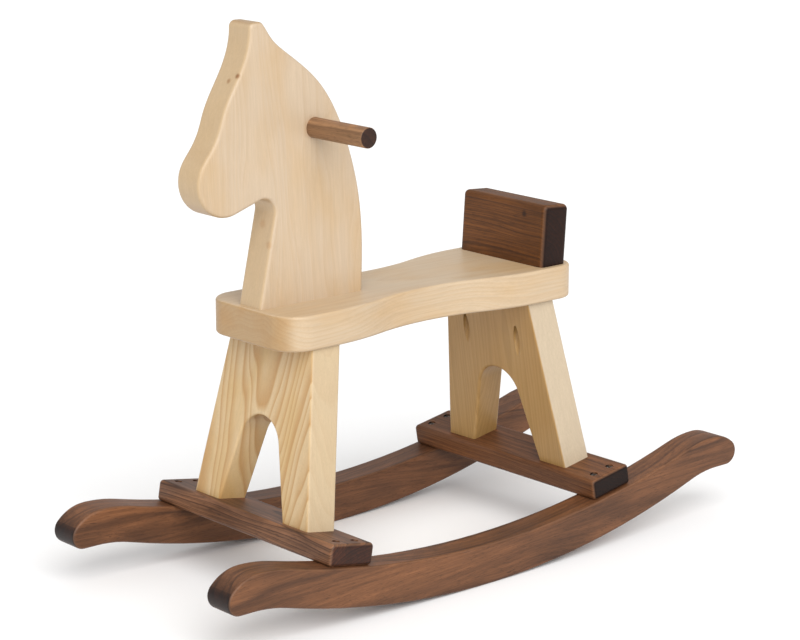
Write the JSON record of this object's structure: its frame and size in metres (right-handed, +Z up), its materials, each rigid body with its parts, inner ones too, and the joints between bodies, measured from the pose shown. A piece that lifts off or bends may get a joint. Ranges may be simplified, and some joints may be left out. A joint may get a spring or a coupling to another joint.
{
  "type": "rocking horse",
  "caption": "Toddler's wooden rocking horse with a flat cut-out head, waisted seat, low backrest, cross handle and splayed leg boards on two curved rockers.",
  "frame": {"origin": "on the floor under the middle of the whole object, halfway between the tips of the rockers and halfway between the two rockers", "axes": "+X from the tail towards the nose, +Y to the horse's left, +Z up"},
  "size_m": [0.75, 0.312, 0.614],
  "materials": {
    "pale_wood": "satin clear finish",
    "dark_wood": "oiled",
    "screws": "zinc plated"
  },
  "bodies": {
    "root": {"front_leg": "pale_wood", "rear_leg": "pale_wood", "seat": "pale_wood", "head": "pale_wood", "left_rocker": "dark_wood", "right_rocker": "dark_wood", "front_crossbar": "dark_wood", "rear_crossbar": "dark_wood", "backrest": "dark_wood", "handle": "dark_wood", "front_rocker_screws": "screws", "rear_rocker_screws": "screws", "front_foot_screws": "screws", "rear_foot_screws": "screws", "front_pocket_screws": "screws", "rear_pocket_screws": "screws", "neck_screws": "screws", "backrest_screws": "screws"}
  },
  "joints": []
}
